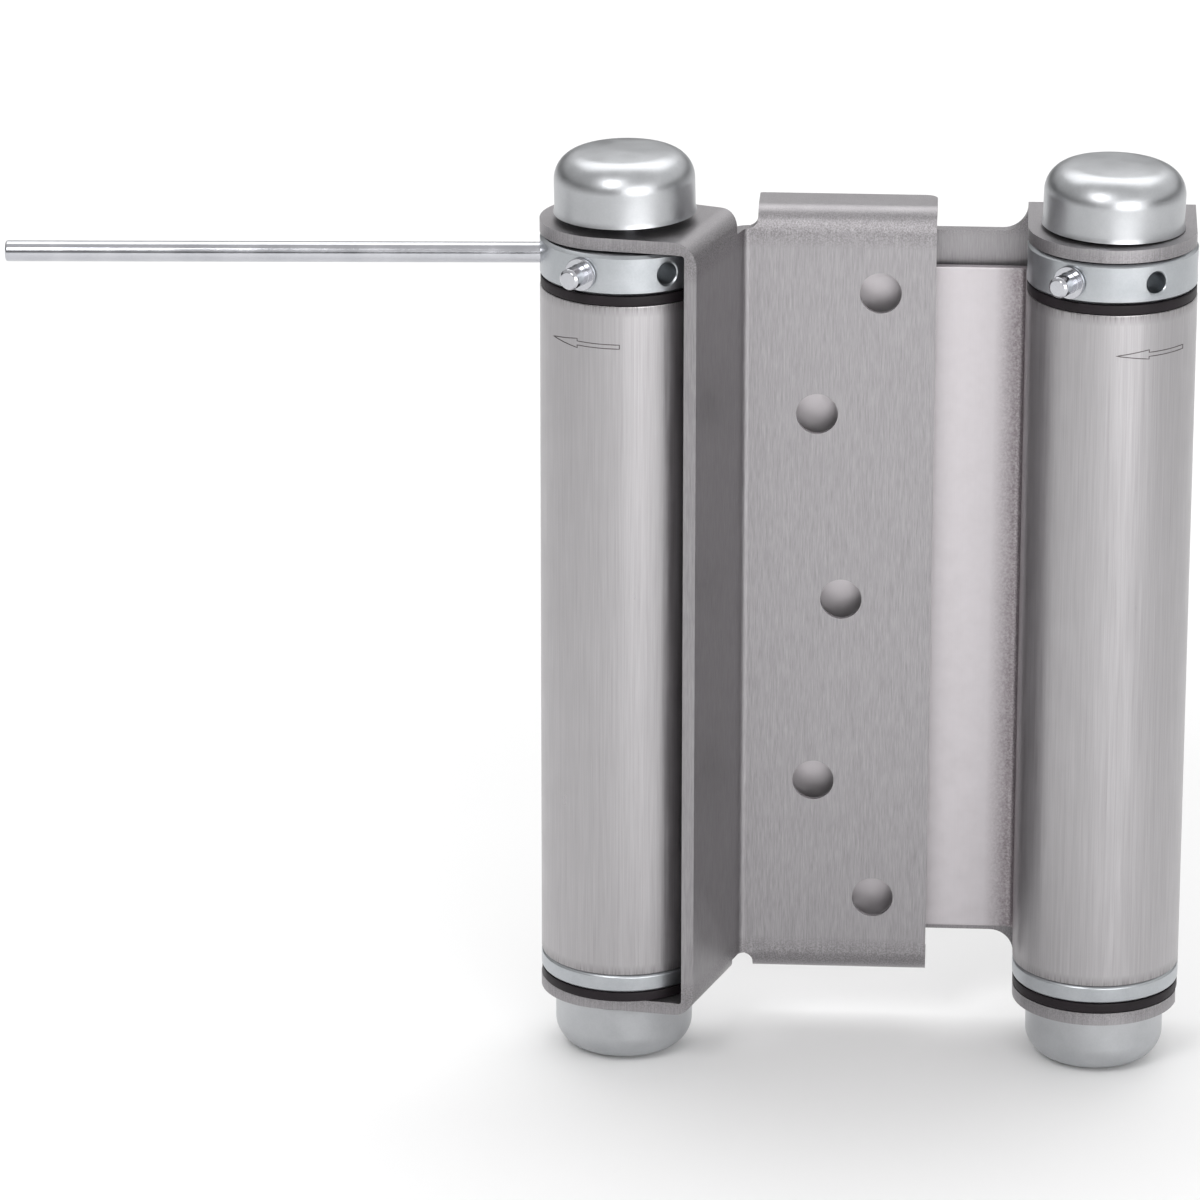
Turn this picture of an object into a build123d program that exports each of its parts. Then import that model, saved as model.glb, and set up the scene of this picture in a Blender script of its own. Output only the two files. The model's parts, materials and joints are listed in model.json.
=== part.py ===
# A double action cafe hinge: two sheet flanges on either side of a centre leaf that is
# rolled into two spring barrels. X is right, Y goes back from the viewer, Z is up.
# The origin lies on the jamb flange's mounting face, between its two outer screws.
import os
from math import acos, cos, degrees, radians, sin, tan

from build123d import *

# Sheet stock and the room between the ears
flange_sheet = 2.5
fold_inner_r = 0.6
centre_sheet = 1.9
ear_clear_height = 152.8

# Barrels
barrel_r = 16.3
barrel_spacing = 93.0

# Centre leaf
centre_bend_r = 1.5
seam_gap = 0.4

# How far the three plates lie apart, from the barrels to the back
jamb_clearance = 0.9
centre_to_jamb_gap = 1.4
door_to_centre_gap = 3.8

# Screw holes, the same in both flanges
screw_hole_r = 4.05
screw_land = 1.0
screw_sink_angle = 82
outer_screw_reach = 48.8
inner_screw_reach = 36.8
middle_screw_reach = 41.85
outer_screw_margin = 10.15
screw_row_step = 24.6

# Jamb flange
plate_margin = 10.6
jamb_plate_drop = 6.25
ear_inset = 0.1
jamb_ear_side_inset = 0.3
jamb_fold_r = 4.4
neck_fillet_r = 4.75

# Door flange
web_angle = 18.0
web_clearance = 0.3
door_fold_r = 4.6
door_ear_tip_inset = 1.9
door_ear_tip_shift = 2.1
front_taper = 9.2
rear_taper = 3.0
ear_corner_r = 4.2
web_bend_r = 1.5
notch_depth = 3.9
notch_width = 1.45
notch_fillet_r = 2.0
lip_fold_r = 4.6
lip_setback = 0.2
lip_outer_corner_r = 2.3
lip_inner_corner_r = 0.6

# Spindles and the parts that turn on them
spindle_r = 5.0
running_clearance = 0.05
spindle_reach = 6.0
spindle_chamfer = 0.8
ring_thickness = 3.7
washer_thickness = 1.9
washer_inset = 0.1
lower_washer_gap = 0.1
spigot_height = 8.0
spigot_clearance = 0.05
anchor_chamfer = 0.5

# Tension collars
collar_height = 7.9
collar_top_gap = 0.35
collar_bevel = 0.6
collar_hub_inset = 2.2
collar_hub_height = 5.0
hub_clearance = 0.2
key_hole_count = 6
key_hole_r = 2.1
key_hole_drop = 3.95
key_hole_wall = 2.55
key_hole_bevel = 0.35
key_hole_bevel_angle = 90
left_rod_angle = 87.0
right_pin_angle = 29.5

# Torsion springs
wire_r = 2.0
coil_pitch = 4.6
coil_gap = 0.3
coil_seat = 0.1

# Pins and winding rod
key_clearance = 0.05
key_floor_gap = 0.4
pin_reach = 5.2
pin_shoulder_r = 3.15
pin_shoulder_height = 0.9
pin_tip_bevel = 0.5
rod_reach = 102.2
rod_tip_bevel = 0.3

# Caps: skirt, shoulder and crown, and the socket inside for the spindle's end
cap_r = 13.5
cap_sheet = 1.0
cap_height = 12.2
cap_crown_r = 80.0
cap_crown_drop = 1.15
cap_shoulder_r = 5.5
cap_flare = 0.25
cap_flare_height = 1.0
cap_boss_wall = 1.6
cap_boss_clearance = 0.3
cap_boss_gap = 1.0
cap_seat = 0.2
right_cap_lift = 0.35
left_cap_lift = 1.7
left_cap_tilt = -1.2
right_cap_tilt = 1.5

# Places worked out from the sizes above, depths counted back from the barrel axes
bore_r = barrel_r - centre_sheet
jamb_plate_front = barrel_r + jamb_clearance
jamb_axis_depth = jamb_plate_front + flange_sheet
centre_plate_back = jamb_plate_front - centre_to_jamb_gap
centre_plate_front = centre_plate_back - centre_sheet
door_plate_front = centre_plate_front - door_to_centre_gap - flange_sheet
axis_y = -jamb_axis_depth
right_x = outer_screw_reach
left_x = right_x - barrel_spacing
middle_x = (left_x + right_x) / 2
plate_end_reach = outer_screw_reach + plate_margin
ear_inner_z = ear_clear_height / 2
ear_outer_z = ear_inner_z + flange_sheet
jamb_plate_half_height = ear_outer_z - jamb_plate_drop
notch_half_height = ear_outer_z - notch_depth
ear_r = barrel_r - ear_inset
washer_r = barrel_r - washer_inset
spindle_bore_r = spindle_r + running_clearance
collar_hub_r = bore_r - collar_hub_inset
collar_top_z = ear_inner_z - collar_top_gap
collar_bottom_z = collar_top_z - collar_height
barrel_top_z = collar_bottom_z - running_clearance - washer_thickness
barrel_bottom_z = lower_washer_gap + washer_thickness + ring_thickness - ear_inner_z
key_hole_z = collar_top_z - key_hole_drop
key_hole_floor_r = spindle_bore_r + key_hole_wall
outer_screw_z = jamb_plate_half_height - outer_screw_margin
inner_screw_z = outer_screw_z - screw_row_step
screws = (
    (outer_screw_reach, outer_screw_z),
    (outer_screw_reach, -outer_screw_z),
    (inner_screw_reach, inner_screw_z),
    (inner_screw_reach, -inner_screw_z),
    (middle_screw_reach, 0),
)
screw_sink_r = screw_hole_r + (flange_sheet - screw_land) * tan(radians(screw_sink_angle / 2))
os.makedirs("parts", exist_ok=True)


def finish(part, name):
    """Label a finished piece and write it."""
    part.label = name
    export_step(part, f"parts/{name}.step")


def ear_plane(x):
    """Level plane on a barrel axis at mid height."""
    return Plane(origin=(x, axis_y, 0))


def radial_plane(x, angle):
    """Plane on a barrel axis that faces out at an angle from the front, left being minus."""
    turn = radians(angle - 90)
    return Plane(origin=(x, axis_y, key_hole_z), z_dir=(cos(turn), sin(turn), 0))


def screw_planes(x, y, reach_side, facing):
    """One plane for each screw hole of a flange, facing out of the countersink."""
    return [
        Plane(origin=(x + reach_side * reach, y, height), x_dir=(1, 0, 0), z_dir=(0, facing, 0))
        for reach, height in screws
    ]


# Jamb flange: plate and two ears, folded from one sheet
jamb_front_y = -flange_sheet
jamb_plate_left = right_x - plate_end_reach
jamb_neck_x = right_x - ear_r
jamb_right_x = right_x + ear_r - jamb_ear_side_inset
jamb_blank_depth = jamb_axis_depth + ear_r + flange_sheet

with BuildPart() as right_flange:
    with BuildSketch(Plane.YZ.offset(jamb_plate_left)) as jamb_section:
        with Locations((-jamb_blank_depth / 2, 0)):
            Rectangle(jamb_blank_depth, 2 * ear_outer_z)
        fillet(jamb_section.vertices().group_by(Axis.X)[-1], jamb_fold_r)
        with Locations((-jamb_blank_depth / 2 - flange_sheet, 0)):
            RectangleRounded(
                jamb_blank_depth, 2 * ear_inner_z, fold_inner_r, mode=Mode.SUBTRACT
            )
    extrude(amount=jamb_right_x - jamb_plate_left)
    # Outline from above: a round ear with straight sides, and the strip of the plate
    with BuildSketch(Plane.XY.offset(-ear_outer_z)) as jamb_plan:
        with Locations((right_x, axis_y)):
            Circle(ear_r)
        with BuildLine():
            Polyline(
                (right_x - ear_r, axis_y),
                (right_x - ear_r, 0),
                (jamb_right_x, 0),
                (right_x + ear_r, axis_y),
                close=True,
            )
        make_face()
        with Locations(((jamb_plate_left + jamb_right_x) / 2, jamb_front_y / 2)):
            Rectangle(jamb_right_x - jamb_plate_left, flange_sheet)
    extrude(amount=2 * ear_outer_z, mode=Mode.INTERSECT)
    # Outline from the front: the plate stops below the ears, with a round neck
    with BuildSketch(Plane.XZ) as jamb_neck:
        for level in (-jamb_plate_half_height, jamb_plate_half_height):
            with BuildLine():
                beyond = ear_outer_z if level > 0 else -ear_outer_z
                Polyline(
                    (jamb_plate_left, level),
                    (jamb_neck_x, level),
                    (jamb_neck_x, beyond),
                    (jamb_plate_left, beyond),
                    close=True,
                )
            make_face()
        necks = [
            jamb_neck.vertices().sort_by_distance((jamb_neck_x, level, 0))[0]
            for level in (-jamb_plate_half_height, jamb_plate_half_height)
        ]
        fillet(necks, neck_fillet_r)
    extrude(amount=jamb_blank_depth, mode=Mode.SUBTRACT)
    with Locations(*screw_planes(right_x, jamb_front_y, -1, -1)):
        CounterSinkHole(screw_hole_r, screw_sink_r, 2 * flange_sheet, screw_sink_angle)
    with Locations((right_x, axis_y, ear_outer_z)):
        Hole(spindle_bore_r)
finish(right_flange.part, "right_flange")

# Door flange: the web stands beside its barrel, turned a little from the depth axis
web_cos = cos(radians(web_angle))
web_sin = sin(radians(web_angle))
web_inner = barrel_r + web_clearance
web_outer = web_inner + flange_sheet
door_ear_tip_r = barrel_r - door_ear_tip_inset
web_plane = Plane(
    origin=(left_x, axis_y, -ear_outer_z), x_dir=(web_cos, -web_sin, 0), z_dir=(0, 0, 1)
)
web_section_plane = Plane(
    origin=(left_x, axis_y, 0), x_dir=(web_cos, -web_sin, 0), z_dir=(-web_sin, -web_cos, 0)
)
ear_blank = web_outer + door_ear_tip_shift + door_ear_tip_r + flange_sheet
front_side = radians(front_taper)
rear_side = radians(rear_taper)
front_tangent = (
    door_ear_tip_r * sin(front_side) - door_ear_tip_shift,
    -door_ear_tip_r * cos(front_side),
)
rear_tangent = (
    door_ear_tip_r * sin(rear_side) - door_ear_tip_shift,
    door_ear_tip_r * cos(rear_side),
)
fold_start = web_outer - door_fold_r
web_front = front_tangent[1] + (fold_start - front_tangent[0]) * tan(front_side)
ear_rear = rear_tangent[1] - (web_outer - rear_tangent[0]) * tan(rear_side)

# Door plate, and the corner where the web turns into it
door_front_y = axis_y + door_plate_front
door_back_y = door_front_y + flange_sheet
door_plate_right = left_x + plate_end_reach
lip_back_y = -lip_setback


def bend_corner(offset, depth):
    """Where a face of the web, so far from the axis, meets a face of the door plate."""
    along = (depth + offset * web_sin) / web_cos
    return (left_x + offset * web_cos + along * web_sin, axis_y + depth)


def web_point(offset, along):
    """A point on a face of the web, so far back along it."""
    return (
        left_x + offset * web_cos + along * web_sin,
        axis_y - offset * web_sin + along * web_cos,
    )


bend_front = bend_corner(web_outer, door_plate_front)
bend_back = bend_corner(web_inner, door_plate_front + flange_sheet)
lip_start_x = bend_front[0] + web_bend_r * tan(radians(90 - web_angle) / 2)
notch_x = lip_start_x + notch_width

with BuildPart() as left_flange:
    with BuildSketch(web_section_plane) as web_section:
        with Locations((web_outer - ear_blank / 2, 0)):
            Rectangle(ear_blank, 2 * ear_outer_z)
        fillet(web_section.vertices().group_by(Axis.X)[-1], door_fold_r)
        with Locations((web_inner - ear_blank / 2, 0)):
            RectangleRounded(ear_blank, 2 * ear_inner_z, fold_inner_r, mode=Mode.SUBTRACT)
    extrude(amount=ear_blank, both=True)
    # Ear outline from above: a round tip, sides that taper, and a round rear corner
    with BuildSketch(web_plane) as door_ear:
        with BuildLine():
            ThreePointArc(
                rear_tangent, (-door_ear_tip_shift - door_ear_tip_r, 0), front_tangent
            )
            Polyline(
                front_tangent,
                (fold_start, web_front),
                (web_outer, web_front),
                (web_outer, ear_rear),
                rear_tangent,
            )
        make_face()
        fillet(door_ear.vertices().sort_by_distance((web_outer, ear_rear, 0))[0], ear_corner_r)
    extrude(amount=2 * ear_outer_z, mode=Mode.INTERSECT)
    # The stretch of web behind the ears, the bend, and the start of the plate
    with BuildSketch(Plane.XY.offset(-notch_half_height)) as bend_plan:
        with BuildLine():
            Polyline(
                web_point(web_outer, 0),
                bend_front,
                (notch_x, door_front_y),
                (notch_x, door_back_y),
                bend_back,
                web_point(web_inner, 0),
                close=True,
            )
        make_face()
        fillet(bend_plan.vertices().sort_by_distance((*bend_front, 0))[0], web_bend_r)
        fillet(
            bend_plan.vertices().sort_by_distance((*bend_back, 0))[0], web_bend_r + flange_sheet
        )
        # The part beside the ears is theirs
        with Locations(Location((left_x, axis_y), -web_angle)):
            Rectangle(
                2 * ear_blank, ear_rear - ear_corner_r, align=(Align.CENTER, Align.MIN),
                mode=Mode.SUBTRACT,
            )
    extrude(amount=2 * notch_half_height)
    # Plate with its two lips folded back
    with BuildSketch(Plane.YZ.offset(lip_start_x)) as lip_section:
        with Locations(((door_front_y + lip_back_y) / 2, 0)):
            Rectangle(lip_back_y - door_front_y, 2 * ear_outer_z)
        fillet(lip_section.vertices().group_by(Axis.X)[0], lip_fold_r)
        with Locations(((door_back_y + lip_back_y) / 2 + flange_sheet, 0)):
            RectangleRounded(
                lip_back_y - door_back_y + 2 * flange_sheet,
                2 * ear_inner_z,
                fold_inner_r,
                mode=Mode.SUBTRACT,
            )
    extrude(amount=door_plate_right - lip_start_x)
    with BuildSketch(Plane.XZ.offset(-door_front_y)) as notches:
        for level in (-notch_half_height, notch_half_height):
            beyond = ear_outer_z if level > 0 else -ear_outer_z
            with BuildLine():
                Polyline(
                    (lip_start_x - notch_fillet_r, level),
                    (notch_x, level),
                    (notch_x, beyond),
                    (lip_start_x - notch_fillet_r, beyond),
                    close=True,
                )
            make_face()
        notch_corners = [
            notches.vertices().sort_by_distance((notch_x, level, 0))[0]
            for level in (-notch_half_height, notch_half_height)
        ]
        fillet(notch_corners, notch_fillet_r)
    extrude(amount=door_front_y - lip_back_y, mode=Mode.SUBTRACT)
    lip_ends = left_flange.edges().filter_by(Axis.Z).group_by(Axis.Y)[-1].group_by(Axis.X)
    fillet(lip_ends[0], lip_inner_corner_r)
    lip_ends = left_flange.edges().filter_by(Axis.Z).group_by(Axis.Y)[-1].group_by(Axis.X)
    fillet(lip_ends[-1], lip_outer_corner_r)
    with Locations(*screw_planes(left_x, door_back_y, 1, 1)):
        CounterSinkHole(screw_hole_r, screw_sink_r, 2 * flange_sheet, screw_sink_angle)
    with Locations((left_x, axis_y, ear_outer_z)):
        Hole(spindle_bore_r)
finish(left_flange.part, "left_flange")

# Centre leaf: half the section is drawn from mid plate to the end of one roll
roll_end_angle = degrees(acos(-(bore_r - seam_gap) / barrel_r))
half_spacing = barrel_spacing / 2
bend_outer_r = centre_bend_r + centre_sheet
bend_x = half_spacing - barrel_r - centre_bend_r
bend_y = centre_plate_front - centre_bend_r

with BuildPart() as centre_leaf:
    with BuildSketch(Plane(origin=(middle_x, axis_y, barrel_bottom_z))) as leaf_section:
        with BuildLine():
            Line((0, centre_plate_front), (bend_x, centre_plate_front))
            CenterArc((bend_x, bend_y), centre_bend_r, 0, 90)
            Line((half_spacing - barrel_r, bend_y), (half_spacing - barrel_r, 0))
            outer_roll = CenterArc((half_spacing, 0), barrel_r, 180, 180 + roll_end_angle)
            inner_roll = CenterArc((half_spacing, 0), bore_r, 180, 180 + roll_end_angle)
            Line(outer_roll @ 1, inner_roll @ 1)
            Line((half_spacing - bore_r, 0), (half_spacing - bore_r, bend_y))
            CenterArc((bend_x, bend_y), bend_outer_r, 0, 90)
            Line((bend_x, centre_plate_back), (0, centre_plate_back))
            Line((0, centre_plate_back), (0, centre_plate_front))
        make_face()
        mirror(about=Plane.YZ)
    extrude(amount=barrel_top_z - barrel_bottom_z)
finish(centre_leaf.part, "centre_leaf")

# Pieces that stand on both barrel axes
ring_bottom_z = barrel_bottom_z - ring_thickness
spigot_top_z = barrel_bottom_z + spigot_height
hub_bottom_z = collar_bottom_z - collar_hub_height
spindle_top_z = ear_outer_z + spindle_reach
coil_r = (spindle_r + bore_r) / 2
coil_start_z = spigot_top_z + wire_r + coil_seat
coil_end_z = hub_bottom_z - coil_gap - wire_r
left_pin_angle = 360 / key_hole_count - left_rod_angle

for side, x, first_hole in (
    ("left", left_x, left_pin_angle),
    ("right", right_x, -right_pin_angle),
):
    with BuildPart() as spindle:
        with BuildSketch(ear_plane(x).offset(-spindle_top_z)):
            Circle(spindle_r)
        extrude(amount=2 * spindle_top_z)
        chamfer(spindle.edges(), spindle_chamfer)
    finish(spindle.part, f"{side}_spindle")

    with BuildPart() as collar:
        with BuildSketch(ear_plane(x).offset(collar_bottom_z)):
            Circle(barrel_r)
        extrude(amount=collar_height)
        chamfer(collar.edges(), collar_bevel)
        with BuildSketch(ear_plane(x).offset(hub_bottom_z)):
            Circle(collar_hub_r)
        extrude(amount=collar_hub_height)
        with Locations((x, axis_y, collar_top_z)):
            Hole(spindle_bore_r)
        for step in range(key_hole_count):
            hole_angle = first_hole + 360 * step / key_hole_count
            with Locations(radial_plane(x, hole_angle).offset(barrel_r)):
                CounterSinkHole(
                    key_hole_r,
                    key_hole_r + key_hole_bevel,
                    barrel_r - key_hole_floor_r,
                    key_hole_bevel_angle,
                )
    finish(collar.part, f"{side}_tension_collar")

    with BuildPart() as upper_washer:
        with BuildSketch(ear_plane(x).offset(barrel_top_z)):
            Circle(washer_r)
            Circle(collar_hub_r + hub_clearance, mode=Mode.SUBTRACT)
        extrude(amount=washer_thickness)
    finish(upper_washer.part, f"{side}_upper_washer")

    with BuildPart() as end_ring:
        with BuildSketch(ear_plane(x).offset(ring_bottom_z)):
            Circle(barrel_r)
        extrude(amount=ring_thickness)
        chamfer(end_ring.edges(), anchor_chamfer)
        with BuildSketch(ear_plane(x).offset(barrel_bottom_z)):
            Circle(bore_r - spigot_clearance)
        extrude(amount=spigot_height)
        with Locations((x, axis_y, spigot_top_z)):
            Hole(spindle_bore_r)
    finish(end_ring.part, f"{side}_end_ring")

    with BuildPart() as lower_washer:
        with BuildSketch(ear_plane(x).offset(ring_bottom_z - washer_thickness)):
            Circle(washer_r)
            Circle(spindle_bore_r, mode=Mode.SUBTRACT)
        extrude(amount=washer_thickness)
    finish(lower_washer.part, f"{side}_lower_washer")

    with BuildPart() as spring:
        with BuildLine():
            coil = Helix(
                coil_pitch, coil_end_z - coil_start_z, coil_r, center=(x, axis_y, coil_start_z)
            )
        with BuildSketch(Plane(origin=coil @ 0, z_dir=coil % 0)):
            Circle(wire_r)
        sweep(is_frenet=True)
    finish(spring.part, f"{side}_torsion_spring")

    with BuildPart() as pin:
        pin_line = radial_plane(x, first_hole)
        with BuildSketch(pin_line.offset(key_hole_floor_r + key_floor_gap)):
            Circle(key_hole_r - key_clearance)
        extrude(amount=barrel_r + pin_reach - key_hole_floor_r - key_floor_gap)
        chamfer(pin.edges(), pin_tip_bevel)
        with BuildSketch(pin_line.offset(barrel_r + key_clearance)):
            Circle(pin_shoulder_r)
        extrude(amount=pin_shoulder_height)
    finish(pin.part, f"{side}_tension_pin")

with BuildPart() as tension_rod:
    rod_line = radial_plane(left_x, -left_rod_angle)
    with BuildSketch(rod_line.offset(key_hole_floor_r + key_floor_gap)):
        Circle(key_hole_r - 2 * key_clearance)
    extrude(amount=barrel_r + rod_reach - key_hole_floor_r - key_floor_gap)
    chamfer(tension_rod.edges(), rod_tip_bevel)
finish(tension_rod.part, "tension_rod")

# Caps: where each one sits, how far it stands off its ear, and how far it leans
cap_places = (
    ("left_top_cap", left_x, 1, left_cap_lift, left_cap_tilt),
    ("left_bottom_cap", left_x, -1, cap_seat, 0),
    ("right_top_cap", right_x, 1, cap_seat + right_cap_lift, right_cap_tilt),
    ("right_bottom_cap", right_x, -1, cap_seat, 0),
)
for cap_name, x, end, lift, tilt in cap_places:
    lean = radians(tilt)
    seat = Plane(
        origin=(x, axis_y, end * (ear_outer_z + lift)),
        x_dir=(cos(lean), 0, -sin(lean)),
        z_dir=(sin(lean) * end, 0, cos(lean) * end),
    )
    cap_axis = Axis(seat.origin, seat.z_dir)
    with BuildPart() as cap:
        # The outside first, then the hollow, one sheet further in
        for inset, making in ((0, Mode.ADD), (cap_sheet, Mode.SUBTRACT)):
            wall_r = cap_r - inset
            crown_z = cap_height - inset
            edge = (wall_r, crown_z - cap_crown_drop)
            with BuildSketch(
                Plane(origin=seat.origin, x_dir=seat.x_dir, z_dir=-seat.y_dir)
            ) as cap_section:
                with BuildLine():
                    RadiusArc((0, crown_z), edge, cap_crown_r)
                    Polyline(
                        edge,
                        (wall_r, cap_flare_height),
                        (wall_r + cap_flare, 0),
                        (0, 0),
                        (0, crown_z),
                    )
                make_face()
                shoulder = cap_section.vertices().sort_by_distance((*edge, 0))[0]
                fillet(shoulder, cap_shoulder_r - inset)
            revolve(axis=cap_axis, mode=making)
        with BuildSketch(seat.offset(cap_boss_gap)):
            Circle(spindle_r + cap_boss_clearance + cap_boss_wall)
            Circle(spindle_r + cap_boss_clearance, mode=Mode.SUBTRACT)
        extrude(amount=cap_height - cap_boss_gap - cap_sheet / 2 - cap_crown_drop / 2)
    finish(cap.part, cap_name)
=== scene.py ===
# The double action cafe hinge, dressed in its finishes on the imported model.
# Everything is in metres, in the model's own frame.
import json
from math import cos, radians, sin

import bmesh
import bpy
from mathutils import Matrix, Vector


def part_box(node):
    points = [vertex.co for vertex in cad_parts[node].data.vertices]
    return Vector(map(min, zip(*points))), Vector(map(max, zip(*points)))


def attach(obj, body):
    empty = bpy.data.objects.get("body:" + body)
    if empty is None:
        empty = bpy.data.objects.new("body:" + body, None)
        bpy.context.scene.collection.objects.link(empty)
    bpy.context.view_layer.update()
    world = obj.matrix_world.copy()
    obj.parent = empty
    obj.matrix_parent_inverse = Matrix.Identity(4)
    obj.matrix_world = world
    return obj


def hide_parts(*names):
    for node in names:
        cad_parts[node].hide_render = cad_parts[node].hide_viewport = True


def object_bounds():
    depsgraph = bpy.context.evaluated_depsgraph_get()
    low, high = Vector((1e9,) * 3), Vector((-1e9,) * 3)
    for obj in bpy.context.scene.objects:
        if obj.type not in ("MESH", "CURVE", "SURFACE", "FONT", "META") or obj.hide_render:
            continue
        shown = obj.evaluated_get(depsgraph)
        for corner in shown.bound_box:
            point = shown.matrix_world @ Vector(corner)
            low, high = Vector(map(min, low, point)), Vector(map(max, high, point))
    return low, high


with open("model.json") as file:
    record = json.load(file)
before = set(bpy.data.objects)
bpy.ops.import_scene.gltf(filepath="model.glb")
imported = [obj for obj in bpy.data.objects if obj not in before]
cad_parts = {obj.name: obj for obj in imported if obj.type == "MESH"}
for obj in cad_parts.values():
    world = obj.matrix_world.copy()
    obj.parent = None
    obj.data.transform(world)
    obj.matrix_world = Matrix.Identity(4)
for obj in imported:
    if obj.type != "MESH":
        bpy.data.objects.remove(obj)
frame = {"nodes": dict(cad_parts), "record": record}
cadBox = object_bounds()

scene = bpy.context.scene
nodes = frame["nodes"]
print("frame loaded:", len(nodes), "nodes")


# Camera, lights and floor

cameraView = {
    "aim": (-0.0490, -0.0197, 0.0015),
    "azimuth": 3.5,
    "elevation": 19.5,
    "distance": 1.362,
    "lens": 210.0,
    "sensor": 36.0,
    "nearest": 0.05,
    "farthest": 20,
}
studio = {
    "sky": (1.0, 1.0, 1.0, 1),
    "skyFront": 1.10,
    "skyBack": 1.25,
    "skyLeft": 0.60,
    "skyRight": 1.10,
    "skyStrength": 0.74,
    "bandHeight": 0.13,
    "bandInner": 0.06,
    "bandOuter": 0.17,
    "bandShade": 0.08,
    "floorColour": (0.86, 0.86, 0.86, 1),
    "floorSize": 12.0,
    "floorRoughness": 0.9,
    "lamps": [
        # Name, place, what it points at, width, height and watts
        ("keyLamp", (-0.35, -0.80, 0.70), (-0.02, 0, 0), 0.30, 0.45, 3.4),
        ("frontLamp", (0.50, -1.17, 0.26), (0.0, 0, 0.05), 0.95, 0.62, 7.6),
        ("topLamp", (-0.05, 0.80, 1.25), (-0.05, 0.75, 0), 1.80, 1.20, 12.0),
    ],
}


def pointAt(thing, target):
    direction = Vector(target) - thing.location
    thing.rotation_euler = direction.to_track_quat("-Z", "Y").to_euler()


def makeCamera():
    data = bpy.data.cameras.new("productCamera")
    data.lens = cameraView["lens"]
    data.sensor_width = cameraView["sensor"]
    data.clip_start = cameraView["nearest"]
    data.clip_end = cameraView["farthest"]
    camera = bpy.data.objects.new("productCamera", data)
    scene.collection.objects.link(camera)
    turn, rise = radians(cameraView["azimuth"]), radians(cameraView["elevation"])
    back = Vector((sin(turn) * cos(rise), -cos(turn) * cos(rise), sin(rise)))
    camera.location = Vector(cameraView["aim"]) + back * cameraView["distance"]
    pointAt(camera, cameraView["aim"])
    scene.camera = camera


def makeLamps():
    for name, place, target, width, height, watts in studio["lamps"]:
        data = bpy.data.lights.new(name, "AREA")
        data.shape = "RECTANGLE"
        data.size, data.size_y = width, height
        data.energy = watts
        lamp = bpy.data.objects.new(name, data)
        scene.collection.objects.link(lamp)
        lamp.location = place
        lamp.visible_camera = False
        pointAt(lamp, target)


def mathNode(tree, operation, first, second, clamp=False):
    node = tree.nodes.new("ShaderNodeMath")
    node.operation = operation
    node.use_clamp = clamp
    for socket, value in zip(node.inputs, (first, second)):
        if isinstance(value, (int, float)):
            socket.default_value = value
        else:
            tree.links.new(value, socket)
    return node.outputs[0]


def makeSky():
    # Pale all round, brighter in front, dimmer to the left, with a dark band above the floor
    world = bpy.data.worlds.new("paleStudio")
    world.use_nodes = True
    scene.world = world
    tree = world.node_tree
    tree.nodes.clear()
    place = tree.nodes.new("ShaderNodeTexCoord")
    split = tree.nodes.new("ShaderNodeSeparateXYZ")
    tree.links.new(place.outputs["Generated"], split.inputs[0])
    shares = []
    for axis, low, high in (("Y", "skyFront", "skyBack"), ("X", "skyLeft", "skyRight")):
        change = tree.nodes.new("ShaderNodeMapRange")
        change.inputs["From Min"].default_value = -1
        change.inputs["To Min"].default_value = studio[low]
        change.inputs["To Max"].default_value = studio[high]
        tree.links.new(split.outputs[axis], change.inputs["Value"])
        shares.append(change.outputs[0])
    above = mathNode(tree, "SUBTRACT", split.outputs["Z"], studio["bandHeight"])
    away = mathNode(tree, "ABSOLUTE", above, 0)
    band = tree.nodes.new("ShaderNodeMapRange")
    band.interpolation_type = "SMOOTHSTEP"
    band.inputs["From Min"].default_value = studio["bandInner"]
    band.inputs["From Max"].default_value = studio["bandOuter"]
    band.inputs["To Min"].default_value = studio["bandShade"]
    tree.links.new(away, band.inputs["Value"])
    around = mathNode(tree, "MULTIPLY", shares[0], shares[1])
    whole = mathNode(tree, "MULTIPLY", around, band.outputs[0])
    strength = mathNode(tree, "MULTIPLY", whole, studio["skyStrength"])
    light = tree.nodes.new("ShaderNodeBackground")
    light.inputs["Color"].default_value = studio["sky"]
    tree.links.new(strength, light.inputs["Strength"])
    out = tree.nodes.new("ShaderNodeOutputWorld")
    tree.links.new(light.outputs[0], out.inputs["Surface"])


def makeFloor():
    half = studio["floorSize"] / 2
    level = cadBox[0].z
    mesh = bpy.data.meshes.new("floor")
    corners = ((-half, -half), (half, -half), (half, half), (-half, half))
    mesh.from_pydata([(x, y, level) for x, y in corners], [], [(0, 1, 2, 3)])
    floor = bpy.data.objects.new("floor", mesh)
    scene.collection.objects.link(floor)
    material = bpy.data.materials.new("paleFloor")
    material.use_nodes = True
    shader = material.node_tree.nodes["Principled BSDF"]
    shader.inputs["Base Color"].default_value = studio["floorColour"]
    shader.inputs["Roughness"].default_value = studio["floorRoughness"]
    mesh.materials.append(material)


makeCamera()
makeLamps()
makeSky()
makeFloor()
scene.view_settings.view_transform = "Standard"
print("studio ready")


# Shader groups that several finishes share

noises = {
    # Detail and roughness of each noise texture
    "grain": (4, 0.6),
    "streak": (2, 0.6),
    "blotch": (3, 0.55),
    "speck": (2, 0.6),
}


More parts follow.
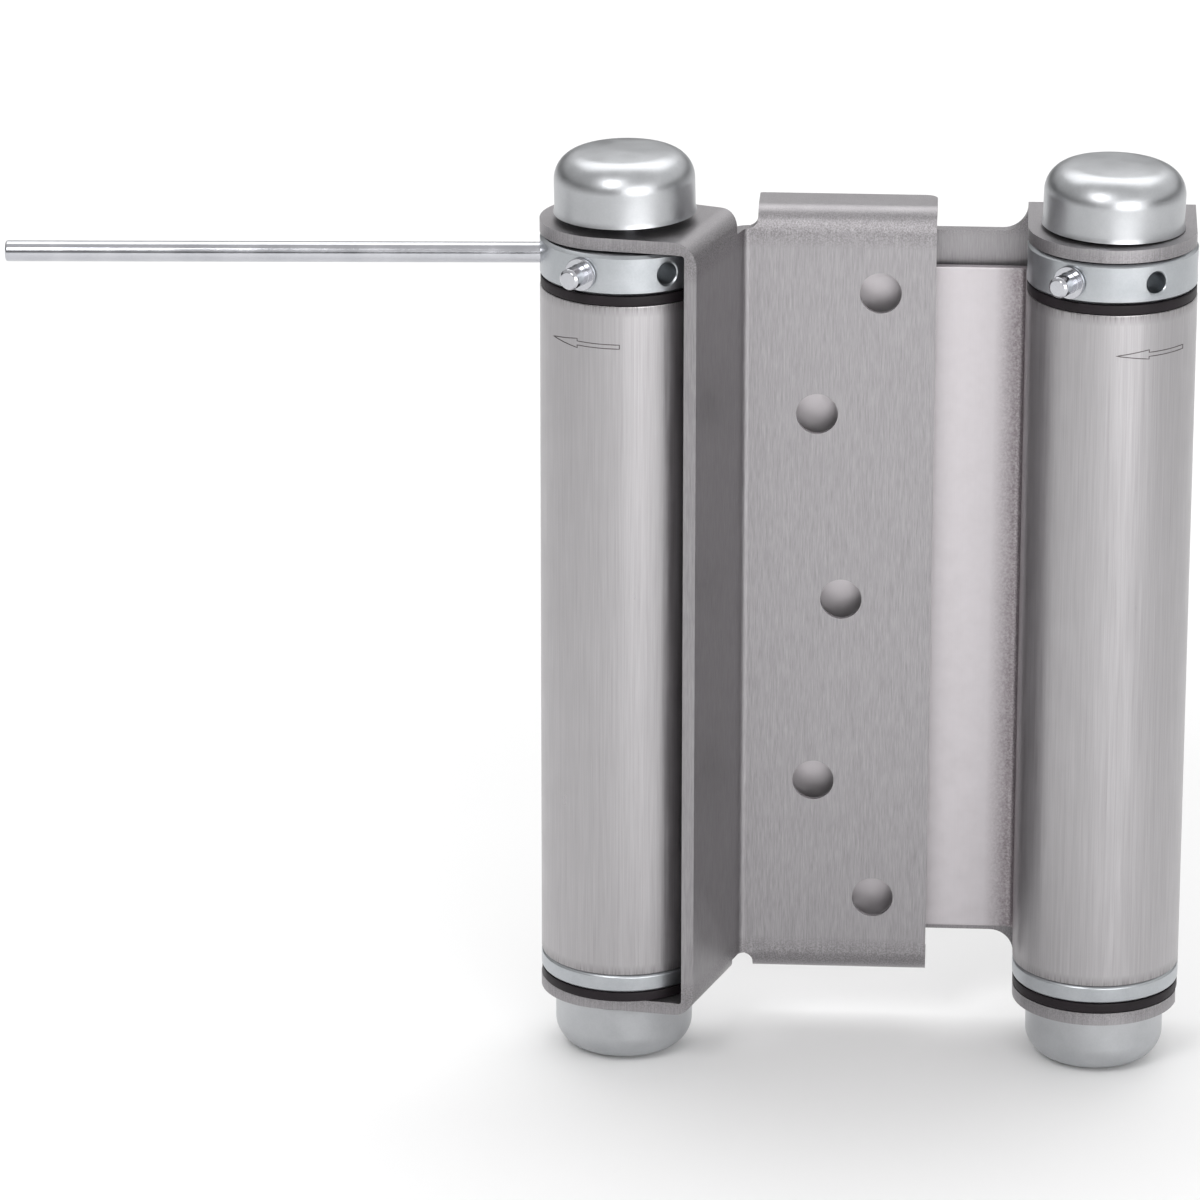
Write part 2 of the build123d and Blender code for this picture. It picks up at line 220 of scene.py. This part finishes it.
def newGroup(name, inputs, outputs):
    group = bpy.data.node_groups.new(name, "ShaderNodeTree")
    for label, value in inputs:
        socket = group.interface.new_socket(label, in_out="INPUT", socket_type="NodeSocketFloat")
        socket.default_value = value
    for label in outputs:
        group.interface.new_socket(label, in_out="OUTPUT", socket_type="NodeSocketFloat")
    start = group.nodes.new("NodeGroupInput")
    end = group.nodes.new("NodeGroupOutput")
    return group, start, end


def noiseNode(tree, vector, scale, kind):
    node = tree.nodes.new("ShaderNodeTexNoise")
    tree.links.new(vector, node.inputs["Vector"])
    if isinstance(scale, (int, float)):
        node.inputs["Scale"].default_value = scale
    else:
        tree.links.new(scale, node.inputs["Scale"])
    node.inputs["Detail"].default_value, node.inputs["Roughness"].default_value = noises[kind]
    return node.outputs["Fac"]


def makeGrainGroup():
    # Upright brushing: noise that is fine across and long up and down
    group, start, end = newGroup(
        "uprightGrain",
        [("Lines per metre", 5000.0), ("Length", 60.0), ("Streak", 900.0)],
        ["Grain", "Streaks"],
    )
    place = group.nodes.new("ShaderNodeTexCoord").outputs["Object"]
    for across, output, kind in (
        ("Lines per metre", "Grain", "grain"),
        ("Streak", "Streaks", "streak"),
    ):
        split = group.nodes.new("ShaderNodeSeparateXYZ")
        group.links.new(place, split.inputs[0])
        joined = group.nodes.new("ShaderNodeCombineXYZ")
        lines = start.outputs[across]
        long = mathNode(group, "DIVIDE", lines, start.outputs["Length"])
        for index, factor in ((0, lines), (1, lines), (2, long)):
            scaled = mathNode(group, "MULTIPLY", split.outputs[index], factor)
            group.links.new(scaled, joined.inputs[index])
        value = noiseNode(group, joined.outputs[0], 1.0, kind)
        group.links.new(value, end.inputs[output])
    return group


def makeMottleGroup():
    # Blotches a few millimetres across, with fine specks
    group, start, end = newGroup(
        "mottle", [("Blotches per metre", 180.0), ("Specks per metre", 2500.0)],
        ["Blotch", "Speck"],
    )
    place = group.nodes.new("ShaderNodeTexCoord").outputs["Object"]
    blotch = noiseNode(group, place, start.outputs["Blotches per metre"], "blotch")
    speck = noiseNode(group, place, start.outputs["Specks per metre"], "speck")
    group.links.new(blotch, end.inputs["Blotch"])
    group.links.new(speck, end.inputs["Speck"])
    return group


def makeEndsGroup():
    # A mask that is 1 at the two ends of an upright piece and fades over Fade metres
    group, start, end = newGroup(
        "upperAndLowerEnds", [("Low", -0.07), ("High", 0.07), ("Fade", 0.01)], ["Mask"]
    )
    place = group.nodes.new("ShaderNodeTexCoord").outputs["Object"]
    split = group.nodes.new("ShaderNodeSeparateXYZ")
    group.links.new(place, split.inputs[0])
    up = mathNode(group, "SUBTRACT", start.outputs["High"], split.outputs["Z"])
    down = mathNode(group, "SUBTRACT", split.outputs["Z"], start.outputs["Low"])
    nearest = mathNode(group, "MINIMUM", up, down)
    share = mathNode(group, "DIVIDE", nearest, start.outputs["Fade"], clamp=True)
    mask = mathNode(group, "SUBTRACT", 1.0, share, clamp=True)
    group.links.new(mask, end.inputs["Mask"])
    return group


grainGroup = makeGrainGroup()
mottleGroup = makeMottleGroup()
endsGroup = makeEndsGroup()


def placeGroup(tree, group, **values):
    node = tree.nodes.new("ShaderNodeGroup")
    node.node_tree = group
    for label, value in values.items():
        node.inputs[label].default_value = value
    return node


def newMaterial(name, metallic, **constants):
    material = bpy.data.materials.new(name)
    material.use_nodes = True
    shader = material.node_tree.nodes["Principled BSDF"]
    shader.inputs["Metallic"].default_value = metallic
    for label, value in constants.items():
        shader.inputs[label].default_value = value
    return material, material.node_tree, shader


def mixColour(tree, factor, first, second):
    node = tree.nodes.new("ShaderNodeMix")
    node.data_type = "RGBA"
    sockets = node.inputs[0], node.inputs[6], node.inputs[7]
    for socket, value in zip(sockets, (factor, first, second)):
        if isinstance(value, (int, float, tuple)):
            socket.default_value = value
        else:
            tree.links.new(value, socket)
    return node.outputs[2]


def spread(tree, value, low, high, fromLow=0.3, fromHigh=0.7):
    # Noise keeps mostly between 0.3 and 0.7, so that is the range spread out
    node = tree.nodes.new("ShaderNodeMapRange")
    tree.links.new(value, node.inputs["Value"])
    node.inputs["From Min"].default_value = fromLow
    node.inputs["From Max"].default_value = fromHigh
    node.inputs["To Min"].default_value = low
    node.inputs["To Max"].default_value = high
    return node.outputs[0]


def bump(tree, shader, height, strength, distance):
    node = tree.nodes.new("ShaderNodeBump")
    node.inputs["Strength"].default_value = strength
    node.inputs["Distance"].default_value = distance
    tree.links.new(height, node.inputs["Height"])
    tree.links.new(node.outputs[0], shader.inputs["Normal"])


# Finishes

flangeFinish = {
    "pale": (0.41, 0.397, 0.408, 1),
    "dark": (0.26, 0.250, 0.260, 1),
    "roughLow": 0.40,
    "roughHigh": 0.52,
    "grain": 5200.0,
    "length": 17.0,
    "streak": 2300.0,
    "grainBump": 0.22,
    "bumpDepth": 0.00006,
    "bend": (0.17, 0.160, 0.165, 1),
    "bendReach": 0.0078,
    "bendSpecks": 3600.0,
    "bendShare": (0, 2.6, 0.42, 0.62),  # low, high, and the noise values they belong to
}
leafFinish = {
    "pale": (0.47, 0.457, 0.468, 1),
    "dark": (0.36, 0.348, 0.357, 1),
    "worn": (0.24, 0.230, 0.232, 1),
    "roughLow": 0.30,
    "roughHigh": 0.44,
    "grain": 4600.0,
    "length": 70.0,
    "streak": 1900.0,
    "grainBump": 0.25,
    "bumpDepth": 0.00006,
    "endFade": 0.0022,
    "endShare": (0.1, 1.3, 0.4, 0.65),  # low, high, and the noise values they belong to
}
plateFinish = {
    "pale": (0.62, 0.592, 0.612, 1),
    "dark": (0.54, 0.512, 0.530, 1),
    # Colour of the painted shade: dark specks laid on the plate near the right barrel, where the
    # bend lies in shadow
    "edge": (0.30, 0.268, 0.282, 1),
    "paintedShadeReach": 0.0060,
    "paintedShadeShare": (0.5, 1.5),
    "joinWidth": 0.0006,
    "roughLow": 0.40,
    "roughHigh": 0.55,
}
capFinish = {
    "pale": (0.52, 0.530, 0.545, 1),
    "dark": (0.44, 0.450, 0.465, 1),
    "roughLow": 0.32,
    "roughHigh": 0.40,
}
collarFinish = {
    "pale": (0.50, 0.520, 0.540, 1),
    "dark": (0.40, 0.418, 0.438, 1),
    "roughLow": 0.30,
    "roughHigh": 0.40,
}
brightFinish = {
    "bumpStrength": 0.03,
    "pale": (0.57, 0.575, 0.605, 1),
    "dark": (0.47, 0.475, 0.505, 1),
    "roughLow": 0.13,
    "roughHigh": 0.20,
}
washerFinish = {
    "bumpStrength": 0.1,
    "specular": 0.22,
    "pale": (0.014, 0.010, 0.013, 1),
    "dark": (0.008, 0.006, 0.007, 1),
    "roughLow": 0.42,
    "roughHigh": 0.56,
}
springFinish = {
    "pale": (0.30, 0.29, 0.28, 1),
    "dark": (0.16, 0.15, 0.14, 1),
    "roughLow": 0.30,
    "roughHigh": 0.50,
}
brushing = {
    "grainTone": 0.6,
    "streakTone": 0.4,
    "roughBlotch": 0.03,
}
mottling = {
    "blotchTone": 0.7,
    "speckTone": 0.3,
    "bumpStrength": 0.04,
    "bumpDepth": 0.00003,
}


def brushedSteel(name, finish):
    material, tree, shader = newMaterial(name, 1.0)
    grain = placeGroup(tree, grainGroup, **{
        "Lines per metre": finish["grain"], "Length": finish["length"], "Streak": finish["streak"],
    })
    mottled = placeGroup(tree, mottleGroup)
    fine = spread(tree, grain.outputs["Grain"], 0, brushing["grainTone"])
    broad = spread(tree, grain.outputs["Streaks"], 0, brushing["streakTone"])
    tone = mathNode(tree, "ADD", fine, broad, clamp=True)
    colour = mixColour(tree, tone, finish["dark"], finish["pale"])
    tree.links.new(colour, shader.inputs["Base Color"])
    rough = spread(tree, grain.outputs["Streaks"], finish["roughLow"], finish["roughHigh"])
    blotch = brushing["roughBlotch"]
    uneven = spread(tree, mottled.outputs["Blotch"], -blotch, blotch)
    rougher = mathNode(tree, "ADD", rough, uneven)
    tree.links.new(rougher, shader.inputs["Roughness"])
    bump(tree, shader, grain.outputs["Grain"], finish["grainBump"], finish["bumpDepth"])
    return material, tree, shader, colour, rougher, grain


def leafSteel():
    # Brushed barrels with rough ends; the plate between them is plain mill steel, darkened with
    # painted shade towards the right barrel
    finish, plate = leafFinish, plateFinish
    material, tree, shader, colour, rough, grain = brushedSteel("leafSteel", finish)
    low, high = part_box("centre_leaf")
    ends = placeGroup(tree, endsGroup, Low=low.z, High=high.z, Fade=finish["endFade"])
    share = spread(tree, grain.outputs["Grain"], *finish["endShare"])
    smear = mathNode(tree, "MULTIPLY", ends.outputs["Mask"], share, clamp=True)
    worn = mixColour(tree, smear, colour, finish["worn"])
    mottled = placeGroup(tree, mottleGroup)
    tone = spread(tree, mottled.outputs["Blotch"], 0, 1)
    plain = mixColour(tree, tone, plate["dark"], plate["pale"])
    # The plate lies between the barrels, and darkens with specks towards the right one: painted
    # shade standing for the shadow where the plate bends into the right barrel
    place = tree.nodes.new("ShaderNodeTexCoord").outputs["Object"]
    split = tree.nodes.new("ShaderNodeSeparateXYZ")
    tree.links.new(place, split.inputs[0])
    across = split.outputs["X"]
    leftJoin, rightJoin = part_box("left_end_ring")[1].x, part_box("right_end_ring")[0].x
    pastLeft = spread(tree, across, 0, 1, leftJoin - plate["joinWidth"], leftJoin)
    beforeRight = spread(tree, across, 1, 0, rightJoin, rightJoin + plate["joinWidth"])
    inside = mathNode(tree, "MULTIPLY", pastLeft, beforeRight)
    # Painted shade: a ramp that darkens the plate towards the right barrel, broken up into specks
    paintedShadeRamp = spread(tree, across, 0, 1, rightJoin - plate["paintedShadeReach"], rightJoin)
    dots = spread(tree, mottled.outputs["Speck"], *plate["paintedShadeShare"])
    specks = mathNode(tree, "MULTIPLY", paintedShadeRamp, dots, clamp=True)
    plain = mixColour(tree, specks, plain, plate["edge"])
    tree.links.new(mixColour(tree, inside, worn, plain), shader.inputs["Base Color"])
    plainRough = spread(tree, mottled.outputs["Blotch"], plate["roughLow"], plate["roughHigh"])
    mix = tree.nodes.new("ShaderNodeMix")
    tree.links.new(inside, mix.inputs[0])
    tree.links.new(rough, mix.inputs[2])
    tree.links.new(plainRough, mix.inputs[3])
    tree.links.new(mix.outputs[0], shader.inputs["Roughness"])
    return material


def mottledFinish(name, finish, metallic=1.0, **constants):
    material, tree, shader = newMaterial(name, metallic, **constants)
    mottled = placeGroup(tree, mottleGroup)
    blotches = spread(tree, mottled.outputs["Blotch"], 0, mottling["blotchTone"])
    specks = spread(tree, mottled.outputs["Speck"], 0, mottling["speckTone"])
    tone = mathNode(tree, "ADD", blotches, specks, clamp=True)
    colour = mixColour(tree, tone, finish["dark"], finish["pale"])
    tree.links.new(colour, shader.inputs["Base Color"])
    rough = spread(tree, mottled.outputs["Blotch"], finish["roughLow"], finish["roughHigh"])
    tree.links.new(rough, shader.inputs["Roughness"])
    strength = finish.get("bumpStrength", mottling["bumpStrength"])
    bump(tree, shader, mottled.outputs["Speck"], strength, mottling["bumpDepth"])
    return material


def flangeSheet():
    # Brushed sheet, with dark specks where it is folded at its top and bottom
    material, tree, shader, colour = brushedSteel("flangeSteel", flangeFinish)[:4]
    low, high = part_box("left_flange")
    ends = placeGroup(tree, endsGroup, Low=low.z, High=high.z, Fade=flangeFinish["bendReach"])
    mask = ends.outputs["Mask"]
    fold = mathNode(tree, "MULTIPLY", mask, mathNode(tree, "SUBTRACT", 1.0, mask))
    specks = placeGroup(tree, mottleGroup, **{"Specks per metre": flangeFinish["bendSpecks"]})
    dots = spread(tree, specks.outputs["Speck"], *flangeFinish["bendShare"])
    share = mathNode(tree, "MULTIPLY", fold, dots, clamp=True)
    folded = mixColour(tree, share, colour, flangeFinish["bend"])
    tree.links.new(folded, shader.inputs["Base Color"])
    return material


flangeSteel = flangeSheet()
finishes = {
    "left_flange": flangeSteel,
    "right_flange": flangeSteel,
    "centre_leaf": leafSteel(),
}
capZinc = mottledFinish("capZinc", capFinish)
collarZinc = mottledFinish("collarZinc", collarFinish)
brightSteel = mottledFinish("brightSteel", brightFinish)
washerNylon = mottledFinish("washerNylon", washerFinish, metallic=0.0, **{
    "Specular IOR Level": washerFinish["specular"],
})
springWire = mottledFinish("springWire", springFinish)
for side in ("left", "right"):
    finishes[side + "_top_cap"] = capZinc
    finishes[side + "_bottom_cap"] = capZinc
    finishes[side + "_tension_collar"] = collarZinc
    finishes[side + "_end_ring"] = collarZinc
    finishes[side + "_spindle"] = brightSteel
    finishes[side + "_tension_pin"] = brightSteel
    finishes[side + "_upper_washer"] = washerNylon
    finishes[side + "_lower_washer"] = washerNylon
    finishes[side + "_torsion_spring"] = springWire
finishes["tension_rod"] = brightSteel
print("finishes made:", len(set(finishes.values())))

bodyOf = {
    name: body for body, names in frame["record"]["behaviour"]["bodies"].items() for name in names
}


# Pieces: each CAD solid's own mesh, cleaned and given the small rounds of real edges

edgeRounds = {
    "left_flange": 0.00050,
    "right_flange": 0.00050,
    "centre_leaf": 0.00032,
    "left_top_cap": 0.00020,
    "right_top_cap": 0.00020,
    "left_bottom_cap": 0.00020,
    "right_bottom_cap": 0.00020,
    "left_tension_collar": 0.00012,
    "right_tension_collar": 0.00012,
    "left_end_ring": 0.00015,
    "right_end_ring": 0.00015,
    "left_upper_washer": 0.00025,
    "right_upper_washer": 0.00025,
    "left_lower_washer": 0.00025,
    "right_lower_washer": 0.00025,
    "left_tension_pin": 0.00012,
    "right_tension_pin": 0.00012,
    "tension_rod": 0.00012,
}
rounding = {
    "weld": 0.000002,
    "sharpAngle": 32,
    "flatAngle": 0.4,
    "segments": 2,
    "profile": 0.5,
}


def roundedPiece(name, width):
    mesh = bpy.data.meshes.new(name + "_piece")
    work = bmesh.new()
    work.from_mesh(nodes[name].data)
    bmesh.ops.remove_doubles(work, verts=work.verts, dist=rounding["weld"])
    bmesh.ops.dissolve_limit(
        work, angle_limit=radians(rounding["flatAngle"]), verts=work.verts, edges=work.edges
    )
    sharp = [
        edge for edge in work.edges
        if len(edge.link_faces) == 2
        and edge.calc_face_angle(0) > radians(rounding["sharpAngle"])
    ]
    bmesh.ops.bevel(
        work, geom=sharp, offset=width, segments=rounding["segments"],
        profile=rounding["profile"], affect="EDGES", clamp_overlap=True,
    )
    bmesh.ops.recalc_face_normals(work, faces=work.faces)
    for face in work.faces:
        face.smooth = True
    work.to_mesh(mesh)
    work.free()
    mesh.set_sharp_from_angle(angle=radians(rounding["sharpAngle"]))
    piece = bpy.data.objects.new(name + "_piece", mesh)
    scene.collection.objects.link(piece)
    mesh.materials.append(finishes[name])
    even = piece.modifiers.new("evenNormals", "WEIGHTED_NORMAL")
    even.keep_sharp = True
    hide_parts(name)
    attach(piece, bodyOf[name])


for name, width in edgeRounds.items():
    roundedPiece(name, width)
for name, material in finishes.items():
    mesh = nodes[name].data
    mesh.materials.clear()
    mesh.materials.append(material)
print("pieces rounded:", len(edgeRounds), "finishes on", len(finishes), "nodes")


# Arrow marks scratched round the barrels, pointing the way the springs are wound

arrowMark = {
    "height": 0.0582,
    "length": 0.0151,
    "headLength": 0.0065,
    "headHalf": 0.00092,
    "shaftHalf": 0.00040,
    "lineRadius": 0.00009,
    "lineRoundness": 2,
    "stepsPerLine": 10,
    "tipAngles": {"left": -53.5, "right": 3.0},  # degrees from the barrel's front
    "front": -90,
    "barrelRadius": 0.0163,
    "pale": (0.20, 0.19, 0.19, 1),
    "dark": (0.10, 0.09, 0.09, 1),
    "roughLow": 0.45,
    "roughHigh": 0.6,
}


def barrelPoint(side, around, height):
    low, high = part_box(side + "_end_ring")
    centre = (low + high) / 2
    radius = arrowMark["barrelRadius"]
    angle = radians(arrowMark["tipAngles"][side] + arrowMark["front"]) + around / radius
    return Vector((centre.x + radius * cos(angle), centre.y + radius * sin(angle), height))


def makeArrow(side, material):
    half, shaft = arrowMark["headHalf"], arrowMark["shaftHalf"]
    head, length = arrowMark["headLength"], arrowMark["length"]
    outline = [
        (0, 0), (head, half), (head, shaft), (length, shaft),
        (length, -shaft), (head, -shaft), (head, -half),
    ]
    data = bpy.data.curves.new(side + "ArrowMark", "CURVE")
    data.dimensions = "3D"
    data.bevel_depth = arrowMark["lineRadius"]
    data.bevel_resolution = arrowMark["lineRoundness"]
    steps = arrowMark["stepsPerLine"]
    points = []
    for (x0, z0), (x1, z1) in zip(outline, outline[1:] + outline[:1]):
        for step in range(steps):
            share = step / steps
            around = x0 + (x1 - x0) * share
            height = arrowMark["height"] + z0 + (z1 - z0) * share
            points.append(barrelPoint(side, around, height))
    line = data.splines.new("POLY")
    line.points.add(len(points) - 1)
    for point, place in zip(line.points, points):
        point.co = (*place, 1)
    line.use_cyclic_u = True
    data.materials.append(material)
    arrow = bpy.data.objects.new(side + "_arrow_mark", data)
    scene.collection.objects.link(arrow)
    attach(arrow, bodyOf["centre_leaf"])


markSteel = mottledFinish("scratchedMark", arrowMark)
for side in arrowMark["tipAngles"]:
    makeArrow(side, markSteel)
print("arrow marks made")
